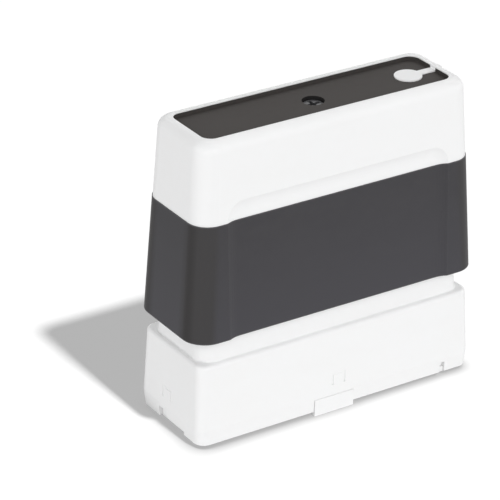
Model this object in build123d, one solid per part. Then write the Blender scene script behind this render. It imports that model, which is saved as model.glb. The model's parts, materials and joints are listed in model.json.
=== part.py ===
"""Pre-inked hand stamp for one long line of text.

A two-shot handle slides down over the neck of a sprung skirt until the print face meets the paper.
The ink cartridge hangs in the handle from a quarter-turn lock screw, and a cap covers the print face.
Millimetres, +X along the print line, +Z up, origin on the ground under the middle of the stamp.
"""
import os
from math import radians, tan

from build123d import *

# ---- Print face -----------------------------------------------------------------------------------
PRINT_LENGTH = 60.0
PRINT_WIDTH = 10.0
FILM_THICKNESS = 0.3
FACE_PROUD = 0.3            # how far the print face stands out of its frame

# ---- Face frame, clamped over the foot of the cartridge -------------------------------------------
FRAME_LAP_X = 2.8           # from the print's end to the frame's end
FRAME_LAP_Y = 4.4           # from the print's long edge to the frame's side
FRAME_FLOOR = 1.2
FRAME_WALL = 0.7
FRAME_HEIGHT = 9.4
FRAME_CORNER = 2.0
FILM_FLANGE_LAP = 1.5       # how far the film's turned-out edge lies on the frame

# ---- Cap ------------------------------------------------------------------------------------------
CAP_PLAY = 0.4              # between the face frame and the cap's rim
CAP_WALL = 1.0
CAP_FIT = 0.3               # between the cap's rim and the skirt
CAP_RIM_HEIGHT = 5.2
CAP_FACE_GAP = 0.3          # left between the pressed print face and the cap's floor
CAP_TAB_LENGTH = 10.2
CAP_TAB_HEIGHT = 3.9
CAP_TAB_PROUD = 0.05
CAP_TAB_OFFSET = 1.1        # each thumb tab lies this far off the middle
CAP_TAB_GAP = 0.1
CAP_TAB_TOP_GAP = 0.05      # the skirt hardly clears the tabs that it sits on

# ---- Skirt: the box round the print face ----------------------------------------------------------
FOOT_Z = 1.0                # the skirt's lower edge above the ground, when it stands on its cap
SKIRT_WALL = 1.2
BOX_HEIGHT = 18.95
BOX_ROOF = 1.3
BOX_CORNER = 2.5
BOX_BELLY_Z = 3.5           # height above the foot where the box is widest
BOX_BELLY = 0.25
BOX_DRAFT = 2.4             # degrees
SHOULDER = 1.65             # from the foot's face in to the neck
SHOULDER_ROUND = 0.9
CREASE_ROUND = 0.35
END_ARCH_LENGTH = 10.1      # raised stretch of the lower edge at each short end
END_ARCH_RISE = 0.85
END_ARCH_OFFSET = 0.75
END_NOTCH_LENGTH = 2.9
END_NOTCH_HEIGHT = 2.5
SIDE_NOTCH_INSET = 7.35      # from the foot's end in to the notch's middle
SIDE_NOTCH_LENGTH = 1.3
SIDE_NOTCH_HEIGHT = 2.5
CAP_LUG_RISE = 1.2          # the lug's face, from the foot up to its step
CAP_LUG_INSET = 0.35        # the lug's face lies this far inside the foot's
CAP_LUG_STEP = 0.4          # above its step the lug lies so much further in
CAP_LUG_GAP = 0.1
END_LUG_INSET = 0.7         # the same in the finger notch at each short end
MARK_SPACING = 3.1          # centre mark: two short grooves joined at the top
MARK_HEIGHT = 2.9
MARK_Z = 9.4
MARK_WIDTH = 0.45
MARK_DEPTH = 0.07
MARK_END_SHIFT = 1.1        # the mark on each short end lies this far off the middle

# ---- Skirt: the neck inside the handle ------------------------------------------------------------
NECK_WALL = 1.1
NECK_CORNER = 4.0
NECK_TOP_GAP = 1.7          # over the neck when the handle is fully down
SHELF_RISE = 10.05          # spring shelf above the shoulder
SHELF_THICKNESS = 1.2
SHELF_CLEARANCE = 3.5       # between the tank's end and the shelf's free edge
STUB_HEIGHT = 3.0
HOOK_WIDTH = 6.0
HOOK_HEIGHT = 3.0
HOOK_REACH = 1.5
HOOK_DROP = 0.5             # from the neck's top down to the hook
HOOK_GAP = 0.1
HOOK_SLIT = 0.8
HOOK_SLIT_LENGTH = 11.0

# ---- Handle ---------------------------------------------------------------------------------------
PRESS_TRAVEL = 4.8
PRESS_STOP_GAP = 0.75
SLIDE_CLEARANCE = 0.3
BAND_WALL_X = 2.65
BAND_WALL_Y = 1.7
BAND_CORNER = 5.5
BAND_HEIGHT = 26.87         # dark lower band
JACKET_HEIGHT = 18.3        # white upper half
HANDLE_DRAFT_X = 3.5
HANDLE_DRAFT_Y = 2.9
HANDLE_TOP_ROUND = 2.5
JACKET_STEP = 0.12          # the jacket lies this far inside the band
JACKET_WALL_X = 1.75
JACKET_WALL_Y = 1.1
CORE_WALL = 1.3
CEILING_DROP = 1.87         # the wide part of the bore ends this far under the jacket

# ---- Finger recess, one on each long face ---------------------------------------------------------
RECESS_DEPTH = 0.69
RECESS_INSET = 8.6          # from the handle's end in to the recess
RECESS_RUN = 2.8            # width of the hollow curve round the recess's edge
RECESS_STRIPS = 4           # that curve is drawn in so many strips
RECESS_TOP = 4.55           # above the joint between band and jacket
RECESS_CORNER = 4.4

# ---- Top tray -------------------------------------------------------------------------------------
RIM_FLAT = 0.2              # level stretch of the white rim, inside its rounded edge
TRAY_CORNER = 2.5
TRAY_DEPTH = 1.08
TRAY_PLATE = 2.2
TRAY_RIM = 0.9
LIP_THICKNESS = 0.25
GATE_INSET = 6.6            # from the tray's end in to the middle of the disc
GATE_DIAMETER = 6.2
GATE_DEPTH = 1.0
GATE_PROUD = 0.3
RUNNER_WIDTH = 1.9

# ---- Lock screw and what holds it -----------------------------------------------------------------
SCREW_HOLE = 5.0
SCREW_HEAD_PLAY = 0.15
SCREW_HEAD_HEIGHT = 1.8
SCREW_SUNK = 0.8            # from the tray down to the head
SCREW_SHANK = 2.6
SCREW_FIT = 0.08
SCREW_CROSS_LENGTH = 3.4
SCREW_CROSS_WIDTH = 0.85
SCREW_CROSS_DEPTH = 1.1
BOSS_DIAMETER = 10.0
BOSS_LENGTH = 5.9
WASHER_DIAMETER = 5.4
WASHER_THICKNESS = 0.35
CLIP_DIAMETER = 5.0
CLIP_THICKNESS = 0.5
CLIP_GROOVE = 0.35          # groove depth in the shank
RUN_GAP = 0.05              # between faces that slide on each other
WING_LENGTH = 6.6
WING_WIDTH = 1.6
WING_HEIGHT = 1.2
WING_CLEARANCE = 0.4

# ---- Keeper plate on the cartridge ----------------------------------------------------------------
KEEPER_LENGTH = 19.0
KEEPER_WIDTH = 11.0
KEEPER_THICKNESS = 0.8
KEEPER_DROP = 0.9           # from the clip down to the plate
KEEPER_SCREW_X = 7.2
KEEPER_HEAD = 2.8
KEEPER_HEAD_HEIGHT = 1.0
KEEPER_SHANK = 1.6
KEEPER_SCREW_LENGTH = 3.6

# ---- Ink cartridge --------------------------------------------------------------------------------
CARTRIDGE_FIT = 0.1
CARTRIDGE_WALL = 1.1
BLOCK_HEIGHT = 15.9         # wide foot of the cartridge
TANK_LENGTH = 36.0
TANK_WIDTH = 13.8
TANK_CORNER = 1.6
LID_THICKNESS = 1.5
GASKET_THICKNESS = 0.6
PLUG_X = 12.6
PLUG_DIAMETER = 3.2
PLUG_HEAD = 4.2
PLUG_HEAD_HEIGHT = 0.9
PLUG_REACH = 2.4
PAD_HEIGHT = 4.4
PLATE_THICKNESS = 1.2
PLATE_WINDOW = 3.0          # square windows that let the ink through
PLATE_PITCH = 5.2
FELT_HEADROOM = 1.0

# ---- Guides in the handle's core ------------------------------------------------------------------
RIB_THICKNESS = 1.2
RIB_FIT = 0.1
RIB_X = 9.0
STOP_LENGTH = 1.5
STOP_WIDTH = 8.0

# ---- Return springs -------------------------------------------------------------------------------
SPRING_CLEARANCE = 1.08     # between the spring's tube and the neck's end wall
SPRING_LENGTH = 20.0
SPRING_WIRE = 0.7
SPRING_DIAMETER = 6.5
SPRING_PITCH = 3.2
WIRE_SIDES = 6              # the wire is drawn six-sided
SPRING_PLAY = 0.25
TUBE_WALL = 0.9
TUBE_GRIP = 6.0

# ---- Sizes that follow ----------------------------------------------------------------------------
frame_half = (PRINT_LENGTH / 2 + FRAME_LAP_X, PRINT_WIDTH / 2 + FRAME_LAP_Y)
rim_inner = (frame_half[0] + CAP_PLAY, frame_half[1] + CAP_PLAY)
rim_outer = (rim_inner[0] + CAP_WALL, rim_inner[1] + CAP_WALL)
box_inner = (rim_outer[0] + CAP_FIT, rim_outer[1] + CAP_FIT)
box_half = (box_inner[0] + SKIRT_WALL, box_inner[1] + SKIRT_WALL)
neck_half = (box_half[0] - SHOULDER, box_half[1] - SHOULDER)
bore_half = (neck_half[0] + SLIDE_CLEARANCE, neck_half[1] + SLIDE_CLEARANCE)
band_half = (bore_half[0] + BAND_WALL_X, bore_half[1] + BAND_WALL_Y)
slope_x, slope_y = tan(radians(HANDLE_DRAFT_X)), tan(radians(HANDLE_DRAFT_Y))

shoulder_z = FOOT_Z + BOX_HEIGHT
band_z = shoulder_z + PRESS_TRAVEL + PRESS_STOP_GAP
split_z = band_z + BAND_HEIGHT
top_z = split_z + JACKET_HEIGHT
tray_z = top_z - TRAY_DEPTH
plate_z = tray_z - TRAY_PLATE
ceiling_z = split_z - CEILING_DROP
neck_z = ceiling_z - NECK_TOP_GAP - PRESS_TRAVEL
hook_z = neck_z - HOOK_DROP - HOOK_HEIGHT
shelf_z = shoulder_z + SHELF_RISE
seat_z = shelf_z + SPRING_LENGTH
tube_z = seat_z - TUBE_GRIP

face_z = FOOT_Z + PRESS_TRAVEL
frame_z = face_z + FACE_PROUD
film_z = frame_z + FRAME_FLOOR
block_z = film_z + FILM_THICKNESS
block_top_z = block_z + BLOCK_HEIGHT
block_half = (frame_half[0] - FRAME_WALL - CARTRIDGE_FIT, frame_half[1] - FRAME_WALL - CARTRIDGE_FIT)
well_half = (block_half[0] - CARTRIDGE_WALL, block_half[1] - CARTRIDGE_WALL)
tank_half = (TANK_LENGTH / 2, TANK_WIDTH / 2)
pad_top_z = block_z + PAD_HEIGHT

head_z = tray_z - SCREW_SUNK - SCREW_HEAD_HEIGHT
boss_z = plate_z - BOSS_LENGTH
washer_z = boss_z - RUN_GAP - WASHER_THICKNESS
clip_z = washer_z - CLIP_THICKNESS
keeper_z = clip_z - KEEPER_DROP - KEEPER_THICKNESS
lid_z = keeper_z - LID_THICKNESS
tank_top_z = lid_z - GASKET_THICKNESS
wing_z = keeper_z - RUN_GAP - WING_HEIGHT
tray_half = tuple(half - slope * (top_z - band_z) - JACKET_STEP - HANDLE_TOP_ROUND - RIM_FLAT
                  for half, slope in zip(band_half, (slope_x, slope_y)))
gate_x = tray_half[0] - GATE_INSET
side_notch_x = box_half[0] - SIDE_NOTCH_INSET
tube_bore = SPRING_DIAMETER + 2 * SPRING_PLAY
tube_outside = tube_bore + 2 * TUBE_WALL
spring_x = neck_half[0] - slope_x * (neck_z - shoulder_z) - NECK_WALL - SPRING_CLEARANCE - tube_outside / 2

cup_radius = WING_LENGTH / 2 + WING_CLEARANCE
pillar_z = keeper_z - KEEPER_SCREW_LENGTH


def neck_at(z):
    """Half sizes of the neck's outside at height z; it narrows upwards as the handle does."""
    return neck_half[0] - slope_x * (z - shoulder_z), neck_half[1] - slope_y * (z - shoulder_z)


def bore_at(z):
    """Half sizes of the handle's wide bore at height z."""
    return bore_half[0] - slope_x * (z - band_z), bore_half[1] - slope_y * (z - band_z)


def band_at(z):
    """Half sizes of the handle's outside at height z."""
    return band_half[0] - slope_x * (z - band_z), band_half[1] - slope_y * (z - band_z)


def section(half, corner, z):
    return Plane.XY.offset(z) * RectangleRounded(2 * half[0], 2 * half[1], corner)


def block(half, corner, low, high):
    """Upright block with rounded corners."""
    return extrude(section(half, corner, low), high - low)


def drafted(half_low, half_high, corner_low, corner_high, low, high):
    """Upright block whose size changes evenly from its lower to its upper face."""
    return loft([section(half_low, corner_low, low), section(half_high, corner_high, high)], ruled=True)


def box_between(low, high):
    size = [b - a for a, b in zip(low, high)]
    middle = [(a + b) / 2 for a, b in zip(low, high)]
    return Pos(*middle) * Box(*size)


def post(x, y, diameter, low, high):
    return Pos(x, y, low) * Cylinder(diameter / 2, high - low, align=(Align.CENTER, Align.CENTER, Align.MIN))


def grown(half, amount):
    return half[0] + amount, half[1] + amount


def half_turned(shape):
    """The same shape turned half round the upright axis: the stamp has that symmetry below the tray."""
    return Rot(0, 0, 180) * shape


# ---- Skirt ----------------------------------------------------------------------------------------
def box_outside():
    belly_z = FOOT_Z + BOX_BELLY_Z
    belly = grown(box_half, BOX_BELLY)
    rise = shoulder_z - belly_z
    head = grown(belly, -rise * tan(radians(BOX_DRAFT)))
    foot = drafted(box_half, belly, BOX_CORNER, BOX_CORNER, FOOT_Z, belly_z)
    body = drafted(belly, head, BOX_CORNER, BOX_CORNER, belly_z, shoulder_z)
    body = fillet(body.edges().filter_by_position(Axis.Z, shoulder_z, shoulder_z), SHOULDER_ROUND)
    return foot + body


def neck_outside():
    return drafted(neck_at(shoulder_z - BOX_ROOF), neck_at(neck_z), NECK_CORNER, NECK_CORNER,
                   shoulder_z - BOX_ROOF, neck_z)


def neck_inside():
    inner_corner = NECK_CORNER - NECK_WALL
    low = shoulder_z - 2 * BOX_ROOF
    return drafted(grown(neck_at(low), -NECK_WALL), grown(neck_at(neck_z), -NECK_WALL),
                   inner_corner, inner_corner, low, neck_z)


def spring_shelf():
    """Shelf across the +X end of the neck, with the stub that the spring stands over."""
    inner_edge = TANK_LENGTH / 2 + SHELF_CLEARANCE
    slab = neck_outside() & box_between((inner_edge, -neck_half[1], shelf_z - SHELF_THICKNESS),
                                        (*neck_half, shelf_z))
    stub_diameter = SPRING_DIAMETER - 2 * SPRING_WIRE - 2 * SPRING_PLAY
    return slab + post(spring_x, 0, stub_diameter, shelf_z, shelf_z + STUB_HEIGHT)


def stop_hook():
    """Hook at the top of the +X end wall, with a lead-in slope on its upper side."""
    root = neck_at(neck_z)[0] - NECK_WALL / 2
    tip = neck_at(hook_z)[0] + HOOK_REACH
    profile = Polyline((root, hook_z), (tip, hook_z), (tip, hook_z + HOOK_HEIGHT / 3),
                       (root, hook_z + HOOK_HEIGHT), close=True)
    return extrude(Plane.XZ * make_face(profile), HOOK_WIDTH / 2, both=True)


def hook_slits():
    reach = neck_half[0]
    slits = []
    for side in (-1, 1):
        y = side * (HOOK_WIDTH + HOOK_SLIT) / 2
        slits.append(box_between((spring_x, y - HOOK_SLIT / 2, neck_z - HOOK_SLIT_LENGTH),
                                 (reach, y + HOOK_SLIT / 2, neck_z + NECK_WALL)))
    return slits


def side_notch():
    """Notch for a cap lug in the front face."""
    return box_between((side_notch_x - SIDE_NOTCH_LENGTH / 2, -box_half[1] - SKIRT_WALL, FOOT_Z - SKIRT_WALL),
                       (side_notch_x + SIDE_NOTCH_LENGTH / 2, -box_inner[1] + SKIRT_WALL,
                        FOOT_Z + SIDE_NOTCH_HEIGHT))


def tab_notch():
    half = CAP_TAB_LENGTH / 2 + CAP_TAB_GAP
    return box_between((-CAP_TAB_OFFSET - half, -box_half[1] - SKIRT_WALL, FOOT_Z - SKIRT_WALL),
                       (-CAP_TAB_OFFSET + half, -box_inner[1] + SKIRT_WALL,
                        CAP_TAB_HEIGHT + CAP_TAB_TOP_GAP))


def end_arch():
    """Raised lower edge of the -X end, and the finger notch at one end of it."""
    outside, inside = -box_half[0] - SKIRT_WALL, -box_inner[0] + SKIRT_WALL
    low, high = -END_ARCH_OFFSET - END_ARCH_LENGTH / 2, -END_ARCH_OFFSET + END_ARCH_LENGTH / 2
    arch = box_between((outside, low, FOOT_Z - SKIRT_WALL), (inside, high, FOOT_Z + END_ARCH_RISE))
    notch = box_between((outside, high - END_NOTCH_LENGTH, FOOT_Z - SKIRT_WALL),
                        (inside, high, FOOT_Z + END_NOTCH_HEIGHT))
    return arch + notch


def centre_mark():
    """Grooves of the mark that shows the middle of the print, drawn in a plane with its origin at mark height."""
    stroke = Rectangle(MARK_WIDTH, MARK_HEIGHT, align=(Align.CENTER, Align.MAX))
    bar = Rectangle(MARK_SPACING + MARK_WIDTH, MARK_WIDTH, align=(Align.CENTER, Align.MAX))
    return Pos(-MARK_SPACING / 2, 0) * stroke + Pos(MARK_SPACING / 2, 0) * stroke + bar


def centre_marks():
    """Cutters for the marks on the front face and on the -X end."""
    rise = MARK_Z - FOOT_Z - BOX_BELLY_Z
    face = grown(box_half, BOX_BELLY - rise * tan(radians(BOX_DRAFT)))
    front_plane = Plane((0, -face[1], MARK_Z), x_dir=(1, 0, 0), z_dir=(0, -1, 0))
    end_plane = Plane((-face[0], MARK_END_SHIFT, MARK_Z), x_dir=(0, -1, 0), z_dir=(-1, 0, 0))
    marks = []
    for plane in (front_plane, end_plane):
        marks.append(extrude(plane.offset(-MARK_DEPTH) * centre_mark(), SKIRT_WALL))
    return marks


def skirt_outside():
    """Box and neck in one, with a small cove where the neck rises out of the shoulder."""
    body = box_outside() + neck_outside()
    crease = [edge for edge in body.edges().filter_by_position(Axis.Z, shoulder_z, shoulder_z)
              if edge.bounding_box().max.X - edge.bounding_box().min.X < 2 * neck_half[0]]
    crease = [edge for edge in crease if abs(edge.center().X) < neck_half[0] + CREASE_ROUND
              and abs(edge.center().Y) < neck_half[1] + CREASE_ROUND]
    return fillet(crease, CREASE_ROUND)


def make_skirt():
    body = skirt_outside()
    body -= block(box_inner, BOX_CORNER - SKIRT_WALL, FOOT_Z - SKIRT_WALL, shoulder_z - BOX_ROOF)
    body -= neck_inside()
    for turn in (lambda shape: shape, half_turned):
        body += turn(spring_shelf())
        body += turn(stop_hook())
        for slit in hook_slits():
            body -= turn(slit)
        body -= turn(side_notch())
        body -= turn(tab_notch())
        body -= turn(end_arch())
        for mark in centre_marks():
            body -= turn(mark)
    return body


# ---- Cap ------------------------------------------------------------------------------------------
def cap_tab():
    half = CAP_TAB_LENGTH / 2
    return box_between((-CAP_TAB_OFFSET - half, -box_half[1] - BOX_BELLY - CAP_TAB_PROUD, 0),
                       (-CAP_TAB_OFFSET + half, -rim_inner[1] - CAP_WALL / 2, CAP_TAB_HEIGHT))


def cap_lug():
    """Stepped lug on the cap's rim that fills the notch in the skirt's long face."""
    half = SIDE_NOTCH_LENGTH / 2 - CAP_LUG_GAP
    root = -rim_inner[1] - CAP_WALL / 2
    face = CAP_LUG_INSET - box_half[1]
    step_z = FOOT_Z + CAP_LUG_RISE
    lower = box_between((side_notch_x - half, face, FOOT_Z), (side_notch_x + half, root, step_z))
    upper = box_between((side_notch_x - half, face + CAP_LUG_STEP, FOOT_Z),
                        (side_notch_x + half, root, FOOT_Z + SIDE_NOTCH_HEIGHT - CAP_LUG_GAP))
    return lower + upper


def cap_end_lug():
    """Lug on the cap's rim in the finger notch of the skirt's short end."""
    high = -END_ARCH_OFFSET + END_ARCH_LENGTH / 2
    return box_between((END_LUG_INSET - box_half[0], high - END_NOTCH_LENGTH + CAP_LUG_GAP, FOOT_Z),
                       (-rim_inner[0] - CAP_WALL / 2, high - CAP_LUG_GAP,
                        FOOT_Z + END_NOTCH_HEIGHT - CAP_LUG_GAP))


def make_cap():
    rim_corner = BOX_CORNER - SKIRT_WALL
    body = block(rim_outer, rim_corner, 0, CAP_RIM_HEIGHT)
    body -= block(rim_inner, rim_corner, FOOT_Z - CAP_FACE_GAP, CAP_RIM_HEIGHT + CAP_WALL)
    for turn in (lambda shape: shape, half_turned):
        body += turn(cap_tab()) + turn(cap_lug()) + turn(cap_end_lug())
    return body


# ---- Handle ---------------------------------------------------------------------------------------
def recess_cutter(inset):
    """Front finger recess: hollow curve all round, with its floor parallel to the drafted face."""
    draft = radians(HANDLE_DRAFT_Y)
    face = Plane((0, inset - band_half[1], band_z), x_dir=(1, 0, 0), z_dir=(0, -1, tan(draft)))
    top = BAND_HEIGHT + RECESS_TOP
    below = BAND_HEIGHT / 2
    radius = (RECESS_RUN ** 2 + RECESS_DEPTH ** 2) / (2 * RECESS_DEPTH)
    edge_slope = RECESS_RUN / (radius - RECESS_DEPTH)

    def outline(run, depth):
        """Outline of the recess, so far in from its edge and so deep under the face."""
        half = band_half[0] - RECESS_INSET - run
        high = top - run
        rectangle = RectangleRounded(2 * half, high + below, RECESS_CORNER - run)
        return face.offset(-depth) * Pos(0, (high - below) / 2) * rectangle

    outlines = [outline(-RECESS_DEPTH, -RECESS_DEPTH * edge_slope)]
    for strip in range(RECESS_STRIPS + 1):
        left = RECESS_RUN * (1 - strip / RECESS_STRIPS)
        outlines.append(outline(RECESS_RUN - left, RECESS_DEPTH - radius + (radius ** 2 - left ** 2) ** 0.5))
    return loft(outlines, ruled=True)


def handle_outside(inset=0):
    corner_top = BAND_CORNER - slope_x * (top_z - band_z) / 2
    body = drafted(grown(band_half, -inset), grown(band_at(top_z), -inset), BAND_CORNER, corner_top, band_z, top_z)
    body = fillet(body.edges().filter_by_position(Axis.Z, top_z, top_z), HANDLE_TOP_ROUND)
    front = recess_cutter(inset)
    return body - front - half_turned(front)


def plug_halves():
    """Half sizes of the core's upper part at its foot, inside the jacket, and at its rim."""
    outside = grown(band_at(split_z), -JACKET_STEP)
    foot = (outside[0] - JACKET_WALL_X, outside[1] - RECESS_DEPTH - JACKET_WALL_Y)
    return foot, grown(tray_half, TRAY_RIM)


def core_plug():
    foot, rim = plug_halves()
    corner = TRAY_CORNER + TRAY_RIM
    return drafted(foot, rim, corner, corner, split_z, top_z - LIP_THICKNESS)


def gate_and_runner():
    """Disc in the tray where the jacket was filled, and its runner out through a slot in the tray's wall."""
    high = tray_z + GATE_PROUD
    low = tray_z - GATE_DEPTH
    disc = post(gate_x, 0, GATE_DIAMETER, low, high)
    end = tray_half[0] + TRAY_RIM + JACKET_WALL_X / 2
    runner = box_between((gate_x, -RUNNER_WIDTH / 2, low), (end, RUNNER_WIDTH / 2, high))
    slot = box_between((tray_half[0], -RUNNER_WIDTH / 2, low), (end, RUNNER_WIDTH / 2, top_z - LIP_THICKNESS))
    return disc + runner + slot


def core_bore():
    wide = drafted(bore_at(band_z - CORE_WALL), bore_at(ceiling_z), BAND_CORNER - CORE_WALL,
                   BAND_CORNER - CORE_WALL, band_z - CORE_WALL, ceiling_z)
    foot, rim = plug_halves()
    low, high = grown(foot, -CORE_WALL), grown(rim, -CORE_WALL)
    narrow = drafted(low, high, TRAY_CORNER, TRAY_CORNER, ceiling_z - CORE_WALL, plate_z)
    return wide + narrow


def hook_groove():
    """Groove in the +X end wall that the skirt's hook runs in; its lower end is the stop at rest."""
    reach = neck_at(hook_z)[0] + HOOK_REACH + SLIDE_CLEARANCE
    half = HOOK_WIDTH / 2 + SLIDE_CLEARANCE
    return box_between((spring_x, -half, hook_z - HOOK_GAP), (reach, half, ceiling_z))


def spring_tube():
    return post(spring_x, 0, tube_outside, tube_z, plate_z) - post(spring_x, 0, tube_bore, tube_z, seat_z)


def tank_guides():
    """Cross ribs at the tank's ends with stops over its lid, and side ribs along it."""
    foot, _ = plug_halves()
    end_x = tank_half[0] + RIB_FIT
    side_y = tank_half[1] + RIB_FIT
    reach = foot[1] - CORE_WALL / 2
    guides = []
    for side in (-1, 1):
        wall = sorted((side * end_x, side * (end_x + RIB_THICKNESS)))
        guides.append(box_between((wall[0], -reach, ceiling_z), (wall[1], reach, plate_z)))
        stop = sorted((side * (end_x - STOP_LENGTH), side * (end_x + RIB_THICKNESS)))
        guides.append(box_between((stop[0], -STOP_WIDTH / 2, keeper_z + RUN_GAP),
                                  (stop[1], STOP_WIDTH / 2, plate_z)))
        for x in (-RIB_X, RIB_X):
            wall = sorted((side * side_y, side * reach))
            guides.append(box_between((x - RIB_THICKNESS / 2, wall[0], ceiling_z),
                                      (x + RIB_THICKNESS / 2, wall[1], plate_z)))
    return guides


def make_core():
    band = handle_outside() & box_between((-band_half[0], -band_half[1], band_z), (*band_half, split_z))
    plug = core_plug()
    body = band + plug
    body -= block(tray_half, TRAY_CORNER, tray_z, top_z)
    body -= core_bore()
    for guide in tank_guides():
        body += guide & plug
    body += post(0, 0, BOSS_DIAMETER, boss_z, plate_z)
    for turn in (lambda shape: shape, half_turned):
        body += turn(spring_tube())
        body -= turn(hook_groove())
    body -= post(0, 0, SCREW_HOLE, head_z - RUN_GAP, top_z)
    body -= post(0, 0, SCREW_SHANK + 2 * SCREW_FIT, boss_z, tray_z)
    return body - gate_and_runner()


def make_shell():
    jacket = handle_outside(inset=JACKET_STEP)
    body = jacket & box_between((-band_half[0], -band_half[1], split_z), (*band_half, top_z))
    body -= core_plug()
    body -= block(tray_half, TRAY_CORNER, split_z, top_z)
    return body + gate_and_runner()


# ---- Lock screw -----------------------------------------------------------------------------------
def make_lock_screw():
    head = post(0, 0, SCREW_HOLE - 2 * SCREW_HEAD_PLAY, head_z, head_z + SCREW_HEAD_HEIGHT)
    head = chamfer(head.edges().group_by(Axis.Z)[-1], SCREW_HEAD_PLAY)
    body = head + post(0, 0, SCREW_SHANK, wing_z, head_z)
    body += box_between((-WING_LENGTH / 2, -WING_WIDTH / 2, wing_z),
                        (WING_LENGTH / 2, WING_WIDTH / 2, wing_z + WING_HEIGHT))
    groove = post(0, 0, SCREW_SHANK, clip_z, washer_z) - post(0, 0, SCREW_SHANK - 2 * CLIP_GROOVE, clip_z, washer_z)
    body -= groove
    top = head_z + SCREW_HEAD_HEIGHT
    for size in ((SCREW_CROSS_LENGTH, SCREW_CROSS_WIDTH), (SCREW_CROSS_WIDTH, SCREW_CROSS_LENGTH)):
        body -= box_between((-size[0] / 2, -size[1] / 2, top - SCREW_CROSS_DEPTH), (size[0] / 2, size[1] / 2, top))
    return body


def make_screw_washer():
    bore = SCREW_SHANK + 2 * SCREW_FIT
    return post(0, 0, WASHER_DIAMETER, washer_z, washer_z + WASHER_THICKNESS) - post(
        0, 0, bore, washer_z, washer_z + WASHER_THICKNESS)


def make_screw_clip():
    """Open ring that snaps into the shank's groove from the side."""
    seat = SCREW_SHANK - 2 * CLIP_GROOVE + 2 * RUN_GAP
    low, high = clip_z + RUN_GAP, clip_z + CLIP_THICKNESS - RUN_GAP
    ring = post(0, 0, CLIP_DIAMETER, low, high) - post(0, 0, seat, low, high)
    mouth = box_between((0, -seat / 3, low), (CLIP_DIAMETER, seat / 3, high))
    return ring - mouth


# ---- Keeper plate and its screws ------------------------------------------------------------------
def make_keeper_plate():
    body = block((KEEPER_LENGTH / 2, KEEPER_WIDTH / 2), TANK_CORNER, keeper_z, keeper_z + KEEPER_THICKNESS)
    body -= post(0, 0, SCREW_SHANK + 2 * WING_CLEARANCE, keeper_z, keeper_z + KEEPER_THICKNESS)
    slot_half = (WING_WIDTH / 2 + WING_CLEARANCE / 2, WING_LENGTH / 2 + WING_CLEARANCE / 2)
    body -= box_between((-slot_half[0], -slot_half[1], keeper_z), (*slot_half, keeper_z + KEEPER_THICKNESS))
    for x in (-KEEPER_SCREW_X, KEEPER_SCREW_X):
        body -= post(x, 0, KEEPER_SHANK + 2 * RUN_GAP, keeper_z, keeper_z + KEEPER_THICKNESS)
    return body


def make_keeper_screw(x):
    top = keeper_z + KEEPER_THICKNESS
    body = post(x, 0, KEEPER_HEAD, top, top + KEEPER_HEAD_HEIGHT)
    body = chamfer(body.edges().group_by(Axis.Z)[-1], KEEPER_HEAD_HEIGHT / 4)
    return body + post(x, 0, KEEPER_SHANK, pillar_z + KEEPER_THICKNESS, top)


# ---- Ink cartridge --------------------------------------------------------------------------------
def make_cartridge_body():
    inner_tank = grown(tank_half, -CARTRIDGE_WALL)
    inner_corner = TANK_CORNER - CARTRIDGE_WALL / 2
    body = block(block_half, FRAME_CORNER, block_z, block_top_z)
    body = fillet(body.edges().group_by(Axis.Z)[-1], CARTRIDGE_WALL)
    body += block(tank_half, TANK_CORNER, block_top_z - CARTRIDGE_WALL, tank_top_z)
    body -= block(well_half, FRAME_CORNER, block_z, block_top_z - CARTRIDGE_WALL)
    return body - block(inner_tank, inner_corner, block_z, tank_top_z)


def make_lid_gasket():
    inner = grown(tank_half, -CARTRIDGE_WALL)
    return block(tank_half, TANK_CORNER, tank_top_z, lid_z) - block(
        inner, TANK_CORNER - CARTRIDGE_WALL / 2, tank_top_z, lid_z)


def make_cartridge_lid():
    spigot = grown(tank_half, -CARTRIDGE_WALL - CARTRIDGE_FIT)
    spigot_corner = TANK_CORNER - CARTRIDGE_WALL / 2
    spigot_z = tank_top_z - GASKET_THICKNESS
    body = block(tank_half, TANK_CORNER, lid_z, keeper_z)
    body += block(spigot, spigot_corner, spigot_z, lid_z)
    body -= block(grown(spigot, -CARTRIDGE_WALL), spigot_corner, spigot_z, lid_z)
    cup_floor = wing_z - WING_CLEARANCE
    body += post(0, 0, 2 * (cup_radius + CARTRIDGE_WALL), cup_floor - CARTRIDGE_WALL, keeper_z)
    for x in (-KEEPER_SCREW_X, KEEPER_SCREW_X):
        body += post(x, 0, KEEPER_SHANK + 2 * CARTRIDGE_WALL, pillar_z, keeper_z)
        body -= post(x, 0, KEEPER_SHANK + 2 * RUN_GAP, pillar_z + KEEPER_THICKNESS / 2, keeper_z)
    for x in (-PLUG_X, PLUG_X):
        body -= post(x, 0, PLUG_DIAMETER, spigot_z, keeper_z)
    return body - post(0, 0, 2 * cup_radius, cup_floor, keeper_z)


def make_fill_plug(x):
    head = post(x, 0, PLUG_HEAD, keeper_z, keeper_z + PLUG_HEAD_HEIGHT)
    head = chamfer(head.edges().group_by(Axis.Z)[-1], PLUG_HEAD_HEIGHT / 3)
    return head + post(x, 0, PLUG_DIAMETER, keeper_z - PLUG_REACH, keeper_z)


def make_ink_felt():
    low = pad_top_z + PLATE_THICKNESS
    wide = block(grown(well_half, -CARTRIDGE_FIT), FRAME_CORNER - CARTRIDGE_FIT,
                 low, block_top_z - CARTRIDGE_WALL - CARTRIDGE_FIT)
    column = grown(tank_half, -CARTRIDGE_WALL - CARTRIDGE_FIT)
    return wide + block(column, TANK_CORNER - CARTRIDGE_WALL / 2, low, pillar_z - FELT_HEADROOM)


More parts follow.
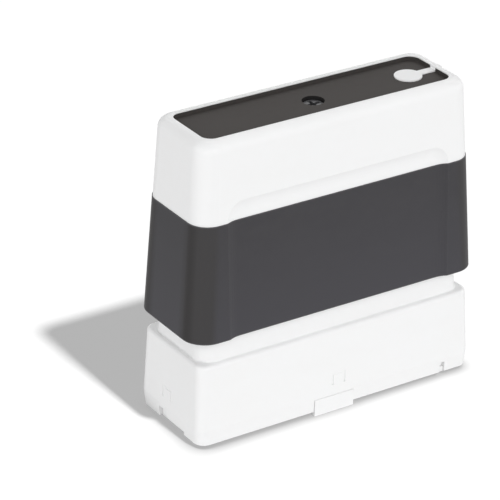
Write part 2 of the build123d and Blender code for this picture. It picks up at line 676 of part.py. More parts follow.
def make_pressure_plate():
    half = grown(well_half, -CARTRIDGE_FIT)
    body = block(half, FRAME_CORNER - CARTRIDGE_FIT, pad_top_z, pad_top_z + PLATE_THICKNESS)
    columns = int((2 * half[0] - PLATE_PITCH) // PLATE_PITCH)
    rows = int((2 * half[1] - PLATE_PITCH / 2) // PLATE_PITCH)
    window = box_between((-PLATE_WINDOW / 2, -PLATE_WINDOW / 2, pad_top_z),
                         (PLATE_WINDOW / 2, PLATE_WINDOW / 2, pad_top_z + PLATE_THICKNESS))
    return body - [place * window for place in GridLocations(PLATE_PITCH, PLATE_PITCH, columns, rows)]


def make_ink_pad():
    lower = (PRINT_LENGTH / 2 - FILM_THICKNESS - CARTRIDGE_FIT, PRINT_WIDTH / 2 - FILM_THICKNESS - CARTRIDGE_FIT)
    body = block(lower, FILM_THICKNESS, face_z + FILM_THICKNESS, block_z)
    return body + block(grown(well_half, -CARTRIDGE_FIT), FRAME_CORNER - CARTRIDGE_FIT, block_z, pad_top_z)


def make_print_film():
    """Shallow tray of porous sheet, with its edge turned out over the frame."""
    face = (PRINT_LENGTH / 2, PRINT_WIDTH / 2)
    corner = 2 * FILM_THICKNESS
    body = block(face, corner, face_z, block_z)
    body += block(grown(face, FILM_FLANGE_LAP), corner, film_z, block_z)
    return body - block(grown(face, -FILM_THICKNESS), FILM_THICKNESS, face_z + FILM_THICKNESS, block_z)


def make_face_frame():
    inner = grown(frame_half, -FRAME_WALL)
    opening = grown((PRINT_LENGTH / 2, PRINT_WIDTH / 2), CARTRIDGE_FIT)
    body = block(frame_half, FRAME_CORNER + FRAME_WALL, frame_z, frame_z + FRAME_HEIGHT)
    body = chamfer(body.edges().group_by(Axis.Z)[0], FRAME_WALL / 2)
    body -= block(inner, FRAME_CORNER, film_z, frame_z + FRAME_HEIGHT)
    return body - block(opening, 2 * FILM_THICKNESS + CARTRIDGE_FIT, frame_z, film_z)


# ---- Return springs -------------------------------------------------------------------------------
def make_spring(x):
    """Coil spring between the shelf and the tube's seat, with its ends ground flat."""
    radius = (SPRING_DIAMETER - SPRING_WIRE) / 2
    coil = Helix(SPRING_PITCH, SPRING_LENGTH + SPRING_WIRE, radius)
    wire = Plane(coil @ 0, z_dir=coil % 0) * RegularPolygon(SPRING_WIRE / 2, WIRE_SIDES)
    spring = Pos(x, 0, shelf_z - SPRING_WIRE / 2) * sweep(wire, path=coil, is_frenet=True)
    return spring & post(x, 0, 2 * SPRING_DIAMETER, shelf_z, seat_z)


def main():
    os.makedirs("parts", exist_ok=True)
    pieces = {
        "skirt": make_skirt(),
        "cap_tray": make_cap(),
        "handle_core": make_core(),
        "handle_shell": make_shell(),
        "lock_screw": make_lock_screw(),
        "screw_washer": make_screw_washer(),
        "screw_clip": make_screw_clip(),
        "keeper_plate": make_keeper_plate(),
        "keeper_screws": Compound(children=[make_keeper_screw(x) for x in (-KEEPER_SCREW_X, KEEPER_SCREW_X)]),
        "cartridge_body": make_cartridge_body(),
        "cartridge_lid": make_cartridge_lid(),
        "lid_gasket": make_lid_gasket(),
        "fill_plugs": Compound(children=[make_fill_plug(x) for x in (-PLUG_X, PLUG_X)]),
        "ink_felt": make_ink_felt(),
        "pressure_plate": make_pressure_plate(),
        "ink_pad": make_ink_pad(),
        "print_film": make_print_film(),
        "face_frame": make_face_frame(),
        "return_spring_left": make_spring(-spring_x),
        "return_spring_right": make_spring(spring_x),
    }
    for name, piece in pieces.items():
        piece.label = name
        export_step(piece, os.path.join("parts", name + ".step"))
        print(name, round(piece.volume, 1))


main()
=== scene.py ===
"""Looks of the pre-inked hand stamp: finishes, coil springs, studio and camera.

Lengths are in metres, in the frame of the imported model: +X along the print line, +Z up, and the origin on
the ground under the middle of the stamp.
"""
from __future__ import annotations

import json
import logging
import math
from dataclasses import dataclass, replace
from enum import Enum
from typing import NamedTuple

import bpy
from mathutils import Matrix, Vector

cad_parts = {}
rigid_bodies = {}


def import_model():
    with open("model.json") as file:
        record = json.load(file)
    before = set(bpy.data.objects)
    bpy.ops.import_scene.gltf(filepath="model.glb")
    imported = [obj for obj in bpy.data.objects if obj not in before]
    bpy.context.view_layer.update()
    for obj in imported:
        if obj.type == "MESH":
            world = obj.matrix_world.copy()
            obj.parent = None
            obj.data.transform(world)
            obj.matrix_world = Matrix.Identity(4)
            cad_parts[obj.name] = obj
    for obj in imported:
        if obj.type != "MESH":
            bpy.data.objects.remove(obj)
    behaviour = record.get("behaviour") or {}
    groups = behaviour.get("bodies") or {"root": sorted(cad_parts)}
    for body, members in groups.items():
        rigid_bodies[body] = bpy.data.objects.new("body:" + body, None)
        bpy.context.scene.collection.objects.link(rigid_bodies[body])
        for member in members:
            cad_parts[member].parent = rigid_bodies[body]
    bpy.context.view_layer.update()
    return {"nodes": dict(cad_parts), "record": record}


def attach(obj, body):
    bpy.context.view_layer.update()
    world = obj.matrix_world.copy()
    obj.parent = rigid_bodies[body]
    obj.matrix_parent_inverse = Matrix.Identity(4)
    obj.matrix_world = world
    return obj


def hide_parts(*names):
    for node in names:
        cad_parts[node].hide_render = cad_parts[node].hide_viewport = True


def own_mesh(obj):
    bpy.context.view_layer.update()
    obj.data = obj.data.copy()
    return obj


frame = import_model()

MM = 0.001
LOG = logging.getLogger("stamp")

Number = float | int
Triple = tuple[float, float, float]
Colour = Triple
Inputs = dict[str | int, object]


# ---- Shader maths -----------------------------------------------------------------------------------
class Edge(NamedTuple):
    """The value where a mask starts to rise, and the width of its rise from 0 to 1."""

    start: float
    fade: float


class Value:
    """A socket that varies over a surface, where arithmetic on a number adds Math nodes.

    It also carries a colour or a vector from one node to the next, without arithmetic.
    """

    def __init__(self, shader: Shader, socket: bpy.types.NodeSocket) -> None:
        """Wrap a socket.

        Args:
            shader: The shader that the socket belongs to.
            socket: The output socket.
        """
        self.shader = shader
        self.socket = socket

    def _math(self, operation: str, *operands: Value | Number, clamp: bool = False) -> Value:
        """Add one Math node over the operands and return its output."""
        settings = {"operation": operation, "use_clamp": clamp}
        return self.shader.node("ShaderNodeMath", settings, dict(enumerate(operands)))

    def __add__(self, other: Value | Number) -> Value:
        """Sum of two values."""
        return self._math("ADD", self, other)

    def __radd__(self, other: Number) -> Value:
        """Sum with a plain number on the left."""
        return self._math("ADD", other, self)

    def __sub__(self, other: Value | Number) -> Value:
        """Difference of two values."""
        return self._math("SUBTRACT", self, other)

    def __rsub__(self, other: Number) -> Value:
        """A plain number less this value."""
        return self._math("SUBTRACT", other, self)

    def __mul__(self, other: Value | Number) -> Value:
        """Product of two values."""
        return self._math("MULTIPLY", self, other)

    def __rmul__(self, other: Number) -> Value:
        """Product with a plain number on the left."""
        return self._math("MULTIPLY", other, self)

    def __abs__(self) -> Value:
        """This value without its sign."""
        return self._math("ABSOLUTE", self)

    def to_power(self, exponent: Number) -> Value:
        """This value raised to a power."""
        return self._math("POWER", self, exponent)

    def at_least(self, floor: Value | Number) -> Value:
        """This value, or the floor where it lies lower."""
        return self._math("MAXIMUM", self, floor)

    def clamped(self) -> Value:
        """This value held between 0 and 1."""
        return self._math("ADD", self, 0.0, clamp=True)

    def above(self, edge: Edge) -> Value:
        """A mask that rises from 0 to 1 as this value passes an edge."""
        return ((self - edge.start) * (1.0 / edge.fade)).clamped()


@dataclass(frozen=True)
class Marks:
    """Irregular marks, as noise between 0 and 1.

    The size is that of the largest lumps in metres, detail is the octaves of finer ones and roughness is the
    finer ones' strength. Stretch is the share of the frequency along each axis, and the offset is the shift
    that makes these marks differ from others.
    """

    size: float
    detail: float = 2.0
    roughness: float = 0.5
    stretch: Triple = (1.0, 1.0, 1.0)
    offset: Triple = (0.0, 0.0, 0.0)


class Shader:
    """The nodes of one material or world."""

    # The places of the colour sockets of a Mix node, whose names repeat.
    MIX_FACTOR, MIX_FIRST, MIX_SECOND, MIX_RESULT = 0, 6, 7, 2
    # The occlusion from inside that marks an outside edge.
    EDGE_SEEN = Edge(0.015, 0.12)
    EDGE_SAMPLES = 12
    ROUNDING_SAMPLES = 6

    def __init__(self, owner: bpy.types.Material | bpy.types.World) -> None:
        """Clear the nodes of a material or world and start afresh.

        Args:
            owner: The material or world.
        """
        self.owner = owner
        owner.use_nodes = True
        self.tree = owner.node_tree
        self.tree.nodes.clear()

    def _add(self, kind: str, settings: dict[str, object] | None, inputs: Inputs | None) -> bpy.types.Node:
        """Add a node, set it up and link it.

        Args:
            kind: The node's type.
            settings: Attributes of the node.
            inputs: Values or links by socket name or place.

        Returns:
            The node.
        """
        made = self.tree.nodes.new(kind)
        for key, value in (settings or {}).items():
            setattr(made, key, value)
        for key, value in (inputs or {}).items():
            socket = made.inputs[key]
            if isinstance(value, Value):
                self.tree.links.new(value.socket, socket)
            else:
                socket.default_value = value
        return made

    def node(self, kind: str, settings: dict[str, object] | None = None, inputs: Inputs | None = None,
             output: str | int = 0) -> Value:
        """Add a node, set it up, link it and return one of its outputs, by name or place."""
        return Value(self, self._add(kind, settings, inputs).outputs[output])

    def position(self) -> Value:
        """Position in the piece's own space, which is the shared frame."""
        return self.node("ShaderNodeTexCoord", output="Object")

    def along(self, axis: str) -> Value:
        """Place along the axis X, Y or Z, in metres."""
        return self.node("ShaderNodeSeparateXYZ", None, {"Vector": self.position()}, output=axis)

    def noise(self, marks: Marks) -> Value:
        """Noise for irregular marks.

        Args:
            marks: The marks.

        Returns:
            The noise, between 0 and 1.
        """
        scale = tuple(share / marks.size for share in marks.stretch)
        place = self.node("ShaderNodeMapping", None,
                          {"Vector": self.position(), "Scale": scale, "Location": marks.offset})
        return self.node("ShaderNodeTexNoise", {"noise_dimensions": "3D"}, {
            "Vector": place, "Scale": 1.0, "Detail": marks.detail, "Roughness": marks.roughness,
        })

    def cells(self, size: float) -> Value:
        """Distance from the middles of round cells of one size, in shares of that size."""
        place = self.node("ShaderNodeMapping", None, {"Vector": self.position(), "Scale": (1 / size,) * 3})
        return self.node("ShaderNodeTexVoronoi", {"feature": "F1"}, {"Vector": place, "Scale": 1.0})

    def mix_colour(self, mask: Value, first: Colour | Value, second: Colour | Value) -> Value:
        """Colour that goes from one to another.

        Args:
            mask: Where it has gone, from 0 to 1.
            first: The colour at 0.
            second: The colour at 1.

        Returns:
            The colour.
        """
        low, high = (end if isinstance(end, Value) else (*end, 1.0) for end in (first, second))
        inputs: Inputs = {self.MIX_FACTOR: mask, self.MIX_FIRST: low, self.MIX_SECOND: high}
        return self.node("ShaderNodeMix", {"data_type": "RGBA"}, inputs, output=self.MIX_RESULT)

    def convex_edges(self, reach: float) -> Value:
        """Mask that is 1 on outside edges and fades out over a distance.

        Args:
            reach: That distance, in metres.

        Returns:
            The mask.
        """
        settings = {"inside": True, "only_local": True, "samples": self.EDGE_SAMPLES}
        hidden = self.node("ShaderNodeAmbientOcclusion", settings, {"Distance": reach}, output="AO")
        return (1.0 - hidden).above(self.EDGE_SEEN)

    def rounded(self, radius: float) -> Value:
        """Normal that rounds sharp edges off to a radius in metres."""
        return self.node("ShaderNodeBevel", {"samples": self.ROUNDING_SAMPLES}, {"Radius": radius})

    def bump(self, height: Value, distance: float, strength: float = 1.0,
             under: Value | None = None) -> Value:
        """Normal that follows a height.

        Args:
            height: The height, from 0 to 1.
            distance: The height of 1, in metres.
            strength: How much of it shows.
            under: A normal that this one lies over.

        Returns:
            The bumped normal.
        """
        inputs: Inputs = {"Height": height, "Distance": distance, "Strength": strength}
        if under is not None:
            inputs["Normal"] = under
        return self.node("ShaderNodeBump", None, inputs)

    def finish(self, surface: Value) -> bpy.types.Material | bpy.types.World:
        """Connect the surface to the output of the material or world.

        Args:
            surface: The surface, or the background of a world.

        Returns:
            The material or world.
        """
        in_world = isinstance(self.owner, bpy.types.World)
        kind = "ShaderNodeOutputWorld" if in_world else "ShaderNodeOutputMaterial"
        self._add(kind, None, {"Surface": surface})
        return self.owner


# ---- Finishes ---------------------------------------------------------------------------------------
class Texture(Enum):
    """Surface textures of moulded plastic, by the size of their grain in metres."""

    POLISHED = 0.9 * MM
    SATIN = 0.28 * MM
    SPARKED = 0.16 * MM

    def grain(self) -> Marks:
        """The texture's grain."""
        return Marks(self.value, detail=1.5, roughness=0.6, offset=(5.0, 2.0, 9.0))


@dataclass(frozen=True)
class Finish:
    """What a surface is made of, named after its slot in the record."""

    name: str
    colour: Colour

    def surface(self, shader: Shader) -> Inputs:
        """Work out what goes into the surface's sockets.

        Args:
            shader: The material's shader.

        Returns:
            Values and links by socket name.
        """
        raise NotImplementedError

    def material(self) -> bpy.types.Material:
        """Build the material.

        Returns:
            The material.
        """
        shader = Shader(bpy.data.materials.new(self.name))
        return shader.finish(shader.node("ShaderNodeBsdfPrincipled", None, self.surface(shader)))


@dataclass(frozen=True)
class MouldedPlastic(Finish):
    """Injection-moulded plastic: mould texture, faint flow marks, rub marks, and rounded edges with an
    optional painted highlight.

    Where the marks are strong, the mottle's colour shows and the surface is duller. The ease is what their
    dullness comes to on average, and is taken off the roughness first.
    """

    mottle: Colour
    roughness: float
    texture: Texture
    grain_height: float
    specular: float = 0.5
    edge_round: float = 0.05 * MM
    # A lighter colour on outside edges, which is a painted highlight, and how far in from them it fades.
    edge_highlight_colour: Colour | None = None
    edge_highlight_reach: float = 0.3 * MM
    flow_marks: Marks = Marks(9.0 * MM, detail=3.0, stretch=(0.5, 1.0, 1.4))
    flow_share: float = 0.6
    flow_height: float = 0.03 * MM
    flow_shown: float = 0.5
    flow_dulled: float = 0.05
    rub_marks: Marks = Marks(2.2 * MM, detail=5.0, roughness=0.62, offset=(3.1, 7.7, 1.3))
    rub_share: float = 0.4
    rub_edge: Edge = Edge(0.55, 0.25)
    rub_dulled: float = 0.06
    mottle_edge: Edge = Edge(0.38, 0.3)
    ease: float = 0.04

    def _body_tone(self, shader: Shader, flow: Value, rub: Value) -> Value:
        """Colour away from the edges."""
        strength = flow * self.flow_share + rub * self.rub_share
        return shader.mix_colour(strength.above(self.mottle_edge), self.colour, self.mottle)

    def _tone(self, shader: Shader, flow: Value, rub: Value) -> Value:
        """Colour over the surface.

        Args:
            shader: The material's shader.
            flow: Slow flow marks.
            rub: Finer rub marks.

        Returns:
            The colour.
        """
        colour = self._body_tone(shader, flow, rub)
        if self.edge_highlight_colour is None:
            return colour
        # Painted highlight: outside edges take the lighter edge colour.
        return shader.mix_colour(shader.convex_edges(self.edge_highlight_reach), colour, self.edge_highlight_colour)

    def _roughness(self, shader: Shader, flow: Value, rub: Value) -> Value:
        """Roughness over the surface, from the same marks."""
        dulled = (self.roughness - self.ease) + flow * self.flow_dulled
        return dulled + rub.above(self.rub_edge) * self.rub_dulled

    def surface(self, shader: Shader) -> Inputs:
        """Work out what goes into the surface's sockets.

        Args:
            shader: The material's shader.

        Returns:
            Values and links by socket name.
        """
        flow = shader.noise(self.flow_marks)
        rub = shader.noise(self.rub_marks)
        grain = shader.noise(self.texture.grain())
        wave = shader.bump(flow, self.flow_height, self.flow_shown, under=shader.rounded(self.edge_round))
        return {
            "Base Color": self._tone(shader, flow, rub),
            "Roughness": self._roughness(shader, flow, rub).clamped(),
            "Normal": shader.bump(grain, self.grain_height, under=wave),
            "Specular IOR Level": self.specular,
        }


@dataclass(frozen=True)
class TrayedPlastic(MouldedPlastic):
    """The same plastic on the handle's core, with painted light and shade on it.

    The band is a little paler towards its lower edge, which is painted light, and darker round its upright
    corners, with a brown streak where each corner leaves the short end, which are painted shade. The floor of
    the top tray is spark-eroded, so duller, and brown, darker than the band as painted shade on this
    up-facing floor; the screw's hole in it is the darkest place, which is painted shade too. The corners'
    edges are given on the ground, towards the short ends and towards the long faces.
    """

    # Painted light: the band's colour towards its lower edge, and where that paleness rises.
    low_lit_colour: Colour = (0.0635, 0.062, 0.069)
    low_lit_edge: Edge = Edge(26.0 * MM, 24.0 * MM)
    end_slope: float = math.tan(math.radians(3.5))
    # Painted shade: darker upright corners, and a brown streak where each corner leaves the short end.
    corner_shade_colour: Colour = (0.0525, 0.0505, 0.0517)
    corner_shade_edges: tuple[Edge, Edge] = (Edge(33.3 * MM, 1.4 * MM), Edge(6.3 * MM, 1.8 * MM))
    streak_shade_colour: Colour = (0.0385, 0.0363, 0.0367)
    streak_shade_edges: tuple[Edge, Edge] = (Edge(37.7 * MM, 0.8 * MM), Edge(5.0 * MM, 3.0 * MM))
    # The tray's brown, darker than the band as painted shade on this up-facing floor.
    tray_tone_and_shade_colour: Colour = (0.050, 0.0455, 0.043)
    tray_edge: Edge = Edge(69.0 * MM, 0.2 * MM)
    tray_dulled: float = 0.18
    # Painted shade on the wall of the screw's hole, and where that hole's mask ends.
    hole_shade_colour: Colour = (0.016, 0.015, 0.015)
    hole_shade_edge: Edge = Edge(2.6 * MM, 0.1 * MM)
    hole_shade_top: Edge = Edge(69.5 * MM, 0.05 * MM)

    def _body_tone(self, shader: Shader, flow: Value, rub: Value) -> Value:
        """Colour away from the edges, paler low down by painted light and darker at the corners by painted
        shade.

        Args:
            shader: The material's shader.
            flow: Slow flow marks.
            rub: Finer rub marks.

        Returns:
            The colour.
        """
        # Painted light: paler towards the band's lower edge.
        low = 1.0 - shader.along("Z").above(self.low_lit_edge)
        colour = shader.mix_colour(low, super()._body_tone(shader, flow, rub), self.low_lit_colour)
        # Painted shade on the upright corners and in the brown streak.
        corner = self._at_shaded_corner(shader, *self.corner_shade_edges)
        streak = self._at_shaded_corner(shader, *self.streak_shade_edges)
        colour = shader.mix_colour(corner, colour, self.corner_shade_colour)
        return shader.mix_colour(streak, colour, self.streak_shade_colour)

    def _at_shaded_corner(self, shader: Shader, end: Edge, face: Edge) -> Value:
        """Mask of the painted shade on the upright corners, which lean in with the short ends.

        Args:
            shader: The material's shader.
            end: Where it rises towards the short ends.
            face: Where it rises towards the long faces.

        Returns:
            The mask.
        """
        to_end = abs(shader.along("X")) + shader.along("Z") * self.end_slope
        return to_end.above(end) * abs(shader.along("Y")).above(face)

    def _in_tray(self, shader: Shader) -> Value:
        """Mask of what lies as high as the tray."""
        return shader.along("Z").above(self.tray_edge)

    def _hole_shade_mask(self, shader: Shader) -> Value:
        """Mask of the painted shade on the wall of the screw's hole."""
        near_x, near_y = (1.0 - abs(shader.along(axis)).above(self.hole_shade_edge) for axis in "XY")
        return near_x * near_y * (1.0 - shader.along("Z").above(self.hole_shade_top))

    def _tone(self, shader: Shader, flow: Value, rub: Value) -> Value:
        """Colour over the surface, with the tray's brown and painted shade, and painted shade in the screw's
        hole.
        """
        # The tray's brown with painted shade over it.
        colour = shader.mix_colour(self._in_tray(shader), super()._tone(shader, flow, rub), self.tray_tone_and_shade_colour)
        # Painted shade on the wall of the screw's hole.
        return shader.mix_colour(self._hole_shade_mask(shader), colour, self.hole_shade_colour)

    def _roughness(self, shader: Shader, flow: Value, rub: Value) -> Value:
        """Roughness over the surface, higher in the tray."""
        return super()._roughness(shader, flow, rub) + self._in_tray(shader) * self.tray_dulled


@dataclass(frozen=True)
class InkedSponge(Finish):
    """Open-cell foam or felt that is soaked with ink."""

    sheen: Colour
    cell: float
    depth: float
    depth_shown: float = 0.8
    sheen_edge: Edge = Edge(0.25, 0.5)
    wet_marks: Marks = Marks(4.0 * MM, detail=3.0)
    roughness: float = 0.5
    wet_dulled: float = 0.35

    def surface(self, shader: Shader) -> Inputs:
        """Work out what goes into the surface's sockets.

        Args:
            shader: The material's shader.

        Returns:
            Values and links by socket name.
        """
        cells = shader.cells(self.cell)
        rough = self.roughness + shader.noise(self.wet_marks) * self.wet_dulled
        return {
            "Base Color": shader.mix_colour(cells.above(self.sheen_edge), self.colour, self.sheen),
            "Roughness": rough.clamped(),
            "Normal": shader.bump(cells, self.depth, self.depth_shown),
        }


@dataclass(frozen=True)
class Metal(Finish):
    """Drawn or pressed steel with fine draw marks along its grain, and darker stains."""

    roughness: float
    grain: Triple
    draw_marks: Marks = Marks(0.5 * MM, detail=4.0, roughness=0.7)
    draw_height: float = 0.01 * MM
    draw_shown: float = 0.6
    draw_dulled: float = 0.15
    stain_marks: Marks = Marks(3.0 * MM, detail=3.0, offset=(2.0, 4.0, 6.0))
    stain_edge: Edge = Edge(0.45, 0.3)
    stain_tone: float = 0.82

    def surface(self, shader: Shader) -> Inputs:
        """Work out what goes into the surface's sockets.

        Args:
            shader: The material's shader.

        Returns:
            Values and links by socket name.
        """
        drawn = shader.noise(replace(self.draw_marks, stretch=self.grain))
        stain = shader.noise(self.stain_marks).above(self.stain_edge)
        stained = tuple(self.stain_tone * channel for channel in self.colour)
        return {
            "Base Color": shader.mix_colour(stain, self.colour, stained),
            "Metallic": 1.0,
            "Roughness": (self.roughness + drawn * self.draw_dulled).clamped(),
            "Normal": shader.bump(drawn, self.draw_height, self.draw_shown),
        }


@dataclass(frozen=True)
class Rubber(Finish):
    """Matt rubber with a bloom of talc."""

    bloom: Colour
    dust_marks: Marks = Marks(1.2 * MM, detail=4.0, roughness=0.6)
    bloom_edge: Edge = Edge(0.5, 0.35)
    roughness: float = 0.68
    dust_dulled: float = 0.2
    specular: float = 0.4
    dust_height: float = 0.02 * MM
    dust_shown: float = 0.5

    def surface(self, shader: Shader) -> Inputs:
        """Work out what goes into the surface's sockets.

        Args:
            shader: The material's shader.

        Returns:
            Values and links by socket name.
        """
        dust = shader.noise(self.dust_marks)
        return {
            "Base Color": shader.mix_colour(dust.above(self.bloom_edge), self.colour, self.bloom),
            "Roughness": (self.roughness + dust * self.dust_dulled).clamped(),
            "Specular IOR Level": self.specular,
            "Normal": shader.bump(dust, self.dust_height, self.dust_shown),
        }


WHITE_SHELL = MouldedPlastic("white_skirt", (0.86, 0.862, 0.865), mottle=(0.85, 0.85, 0.85), roughness=0.5,
                             texture=Texture.SATIN, grain_height=0.004 * MM, specular=0.35)
INK_FOAM = InkedSponge("ink_foam", (0.015, 0.015, 0.022), sheen=(0.035, 0.035, 0.05), cell=0.3 * MM,
                       depth=0.1 * MM)
GASKET = Rubber("gasket_rubber", (0.03, 0.03, 0.03), bloom=(0.08, 0.08, 0.08))

FINISHES: dict[str, Finish] = {finish.name: finish for finish in (
    WHITE_SHELL,
    replace(WHITE_SHELL, name="white_cap"),
    replace(WHITE_SHELL, name="white_jacket", roughness=0.48, grain_height=0.003 * MM),
    # The dark core's edge colour is a painted highlight; its band, tray and screw hole carry painted light
    # and shade.
    TrayedPlastic("dark_core", (0.0535, 0.052, 0.0562), mottle=(0.0585, 0.057, 0.061), roughness=0.44,
                  texture=Texture.SPARKED, grain_height=0.008 * MM, specular=0.1,
                  edge_highlight_colour=(0.085, 0.083, 0.088)),
    MouldedPlastic("screw_plastic", (0.062, 0.062, 0.066), mottle=(0.07, 0.07, 0.074), roughness=0.36,
                   texture=Texture.POLISHED, grain_height=0.002 * MM),
    MouldedPlastic("cartridge_plastic", (0.05, 0.05, 0.055), mottle=(0.06, 0.06, 0.065), roughness=0.5,
                   texture=Texture.SATIN, grain_height=0.006 * MM),
    MouldedPlastic("plate_plastic", (0.6, 0.6, 0.57), mottle=(0.52, 0.52, 0.5), roughness=0.5,
                   texture=Texture.SATIN, grain_height=0.006 * MM),
    MouldedPlastic("frame_plastic", (0.82, 0.82, 0.81), mottle=(0.78, 0.78, 0.77), roughness=0.42,
                   texture=Texture.SATIN, grain_height=0.004 * MM),
    Metal("spring_steel", (0.62, 0.62, 0.6), roughness=0.28, grain=(1.0, 1.0, 4.0)),
    Metal("steel_plate", (0.6, 0.61, 0.62), roughness=0.35, grain=(0.2, 4.0, 1.0)),
    GASKET,
    replace(GASKET, name="plug_rubber", colour=(0.05, 0.05, 0.05), bloom=(0.10, 0.10, 0.10)),
    replace(INK_FOAM, name="ink_felt", colour=(0.012, 0.012, 0.02), sheen=(0.03, 0.03, 0.045),
            cell=0.35 * MM, depth=0.08 * MM),
    INK_FOAM,
    replace(INK_FOAM, name="print_film", colour=(0.06, 0.06, 0.075), sheen=(0.10, 0.10, 0.12),
            cell=0.12 * MM, depth=0.01 * MM),
)}


# ---- Studio -----------------------------------------------------------------------------------------
@dataclass
class Camera:
    """The camera, given by where it stands, how it is turned in degrees, and its lens in millimetres."""

    place: Vector = Vector((-319.855, -466.343, 320.801)) * MM
    azimuth: float = -33.127
    elevation: float = 26.925
    roll: float = 0.772
    lens: float = 208.936
    sensor: float = 36.0
    nearest: float = 0.01
    farthest: float = 20.0

    def build(self) -> None:
        """Add the camera and make it the scene's."""
        data = bpy.data.cameras.new("camera")
        data.lens = self.lens
        data.sensor_width = self.sensor
        data.clip_start = self.nearest
        data.clip_end = self.farthest
        camera = bpy.data.objects.new("camera", data)
        bpy.context.scene.collection.objects.link(camera)
        turn = (Matrix.Rotation(math.radians(self.azimuth), 4, "Z")
                @ Matrix.Rotation(math.radians(90.0 - self.elevation), 4, "X")
                @ Matrix.Rotation(math.radians(self.roll), 4, "Z"))
        camera.matrix_world = Matrix.Translation(self.place) @ turn
        bpy.context.scene.camera = camera


@dataclass(frozen=True)
class Lamp:
    """A soft lamp far away.

    Its turn is in degrees round the stamp from the front, positive to the right, and its rise in degrees
    above the ground. Its level is what a white card that faces it sends back, and its spread is how wide it
    looks, in degrees.
    """

    name: str
    turn: float
    rise: float
    level: float
    spread: float = 40.0

    def beam(self) -> Vector:
        """The way that its light travels."""
        turn, rise = math.radians(self.turn), math.radians(self.rise)
        return -Vector((math.sin(turn) * math.cos(rise), -math.cos(turn) * math.cos(rise), math.sin(rise)))

    def shine(self, on: bpy.types.Collection) -> None:
        """Add the lamp, which lights one collection.

        Args:
            on: What it lights.
        """
        data = bpy.data.lights.new(self.name, "SUN")
        data.energy = self.level * math.pi
        data.angle = math.radians(self.spread)
        light = bpy.data.objects.new(self.name, data)
        bpy.context.scene.collection.objects.link(light)
        light.rotation_euler = self.beam().to_track_quat("-Z", "Y").to_euler()
        light.light_linking.receiver_collection = on


@dataclass
class Studio:
    """Pale floor and even sky; a sun that draws the shadow on the floor, and soft lamps on the stamp.

    The camera sees the floor white, by its seen colour and its glow, while its shade is what throws light
    back. The contact shadow darkens what lies within its reach of the stamp. Along the print line, it reaches
    less far by its taper and grows paler by its lift, each for one metre.
    """

    sky: float = 0.15
    sun: Lamp = Lamp("sun", 6.3, 57.1, 5.4, spread=3.2)
    lamps: tuple[Lamp, ...] = (
        Lamp("front_lamp", 10.0, 25.0, 0.343),
        Lamp("front_left_lamp", -40.0, 25.0, 0.302),
        Lamp("left_lamp", -100.0, 25.0, 0.300),
        Lamp("right_lamp", 70.0, 25.0, 0.250),
        Lamp("back_lamp", 140.0, 50.0, 0.248),
    )
    floor_size: float = 6.0
    floor_seen: float = 0.125
    floor_glow: float = 0.44
    floor_shade: float = 0.166
    contact_samples: int = 32
    contact_reach: float = 3.5 * MM
    contact_taper: float = 0.016
    contact_least_reach: float = 0.1 * MM
    contact_edge: Edge = Edge(0.44, 0.56)
    contact_fade: float = 0.56
    contact_least: float = 0.2
    contact_lift: float = 3.2

    def build(self) -> None:
        """Add the sky, the floor and the sun on it."""
        self._world()
        floor = bpy.data.collections.new("floor_only")
        bpy.context.scene.collection.children.link(floor)
        floor.objects.link(self._floor())
        self.sun.shine(floor)

    def light_pieces(self) -> None:
        """Point the soft lamps at the stamp's pieces alone."""
        pieces = bpy.data.collections.new("stamp_only")
        bpy.context.scene.collection.children.link(pieces)
        for thing in bpy.context.scene.objects:
            if thing.type == "MESH" and thing.name != "floor":
                pieces.objects.link(thing)
        for lamp in self.lamps:
            lamp.shine(pieces)

    def _world(self) -> None:
        """Even sky, which the camera and reflections see as white."""
        shader = Shader(bpy.data.worlds.new("sky"))
        rays = ("Is Camera Ray", "Is Glossy Ray", "Is Transmission Ray")
        camera, glossy, clear = (shader.node("ShaderNodeLightPath", output=ray) for ray in rays)
        seen = camera.at_least(glossy).at_least(clear)
        level = shader.node("ShaderNodeMapRange", None, {"Value": seen, "To Min": self.sky, "To Max": 1.0})
        white = (1.0, 1.0, 1.0, 1.0)
        background = shader.node("ShaderNodeBackground", None, {"Color": white, "Strength": level})
        bpy.context.scene.world = shader.finish(background)

    def _floor(self) -> bpy.types.Object:
        """White floor under the stamp, darker for the light that it throws back.

        Returns:
            The floor.
        """
        half = self.floor_size / 2
        mesh = bpy.data.meshes.new("floor")
        mesh.from_pydata([(-half, -half, 0), (half, -half, 0), (half, half, 0), (-half, half, 0)], [],
                         [(0, 1, 2, 3)])
        floor = bpy.data.objects.new("floor", mesh)
        bpy.context.scene.collection.objects.link(floor)
        mesh.materials.append(self._floor_material())
        return floor

    def _floor_material(self) -> bpy.types.Material:
        """Matt floor that glows for the camera, with the contact shadow.

        Returns:
            The material.
        """
        shader = Shader(bpy.data.materials.new("floor"))
        camera_ray = shader.node("ShaderNodeLightPath", output="Is Camera Ray")
        contact = self._contact(shader)
        seen = shader.mix_colour(contact, (0.0, 0.0, 0.0), (self.floor_seen,) * 3)
        colour = shader.mix_colour(camera_ray, (self.floor_shade,) * 3, seen)
        matt = shader.node("ShaderNodeBsdfDiffuse", None, {"Color": colour})
        glow = shader.node("ShaderNodeEmission", None, {"Strength": camera_ray * self.floor_glow})
        return shader.finish(shader.node("ShaderNodeAddShader", None, {0: matt, 1: glow}))

    def _contact(self, shader: Shader) -> Value:
        """Share of the floor's brightness that the contact shadow leaves.

        Args:
            shader: The floor's shader.

        Returns:
            The share, from 0 to 1.
        """
        along = shader.along("X")
        reach = (self.contact_reach - along * self.contact_taper).at_least(self.contact_least_reach)
        open_sky = shader.node("ShaderNodeAmbientOcclusion", {"samples": self.contact_samples},
                               {"Distance": reach}, output="AO")
        least = along * self.contact_lift + self.contact_least
        return open_sky.above(self.contact_edge).to_power(self.contact_fade).at_least(least)


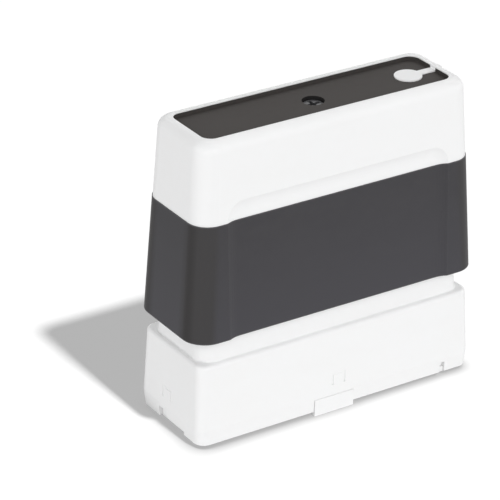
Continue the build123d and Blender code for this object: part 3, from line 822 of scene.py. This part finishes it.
# ---- The stamp --------------------------------------------------------------------------------------
@dataclass
class ReturnSprings:
    """The two coil springs that stand on the skirt's neck and lift the handle.

    Each is wound from the foot to the seat, with closed turns at both ends. The ease draws the open turns
    together next to the closed ones. The share kept, how much of its length the pressed handle leaves, is not
    used.
    """

    across: float = 26.0 * MM
    foot: float = 30.0 * MM
    seat: float = 50.0 * MM
    coil_radius: float = 2.9 * MM
    wire: float = 0.7 * MM
    wire_steps: int = 3
    closed_turns: float = 1.2
    open_turns: float = 5.0
    points_per_turn: int = 20
    ease: float = 0.12
    kept: float = 0.76

    def _rise(self, turn: float) -> float:
        """Height of the wire's middle above the foot.

        Args:
            turn: The turns wound so far.

        Returns:
            The height, in metres.
        """
        free = self.seat - self.foot - self.wire * (1.0 + 2.0 * self.closed_turns)
        dead = min(turn, self.closed_turns) + max(0.0, turn - self.closed_turns - self.open_turns)
        live = min(max(turn - self.closed_turns, 0.0), self.open_turns) / self.open_turns
        eased = live - math.sin(2.0 * math.pi * live) / (2.0 * math.pi) * self.ease
        return self.wire * 0.5 + dead * self.wire + eased * free

    def _coil(self, name: str, middle: float) -> bpy.types.Object:
        """Wind one spring from round wire.

        Args:
            name: The piece's name.
            middle: X of the spring's axis.

        Returns:
            The mesh object.
        """
        turns = 2.0 * self.closed_turns + self.open_turns
        count = int(turns * self.points_per_turn)
        curve = bpy.data.curves.new(name, "CURVE")
        curve.dimensions = "3D"
        curve.bevel_depth = self.wire / 2
        curve.bevel_resolution = self.wire_steps
        curve.use_fill_caps = True
        spline = curve.splines.new("POLY")
        spline.points.add(count)
        for place, point in enumerate(spline.points):
            turn = turns * place / count
            angle = 2.0 * math.pi * turn
            point.co = (middle + self.coil_radius * math.cos(angle), self.coil_radius * math.sin(angle),
                        self.foot + self._rise(turn), 1.0)
        wound = bpy.data.objects.new(name + "_path", curve)
        mesh = bpy.data.meshes.new_from_object(wound)
        bpy.data.objects.remove(wound)
        mesh.polygons.foreach_set("use_smooth", [True] * len(mesh.polygons))
        piece = bpy.data.objects.new(name, mesh)
        bpy.context.scene.collection.objects.link(piece)
        return piece

    def build(self, materials: dict[str, bpy.types.Material]) -> list[bpy.types.Object]:
        """Wind both springs and stand them on the skirt.

        Args:
            materials: The materials by slot name.

        Returns:
            The two springs.
        """
        pieces = []
        for side, middle in (("left", -self.across), ("right", self.across)):
            piece = self._coil(f"coil_{side}", middle)
            piece.data.materials.append(materials["spring_steel"])
            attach(piece, "skirt")
            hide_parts(f"return_spring_{side}")
            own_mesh(piece)
            pieces.append(piece)
        return pieces


@dataclass
class Dresser:
    """Gives every node of the frame its finish."""

    finishes: dict[str, Finish]

    def materials(self) -> dict[str, bpy.types.Material]:
        """Build each finish once, by slot name."""
        return {slot: finish.material() for slot, finish in self.finishes.items()}

    def dress(self, materials: dict[str, bpy.types.Material]) -> list[bpy.types.Object]:
        """Put each node's finish on it.

        Args:
            materials: The materials by slot name.

        Returns:
            The dressed nodes.
        """
        dressed = []
        for part in frame["record"]["subparts"]:
            node = frame["nodes"][part["node"]]
            node.data.materials.clear()
            node.data.materials.append(materials[part["material_slot"]])
            dressed.append(node)
        return dressed


def main() -> None:
    """Build the studio, dress the stamp and report each piece."""
    logging.basicConfig(level=logging.INFO, format="%(message)s")
    bpy.context.scene.view_settings.view_transform = "Standard"
    Camera().build()
    studio = Studio()
    studio.build()
    dresser = Dresser(FINISHES)
    materials = dresser.materials()
    for node in dresser.dress(materials):
        LOG.info("dressed %s in %s", node.name, node.data.materials[0].name)
    for spring in ReturnSprings().build(materials):
        LOG.info("wound %s from %s", spring.name, spring.data.materials[0].name)
    studio.light_pieces()


if __name__ == "__main__":
    main()
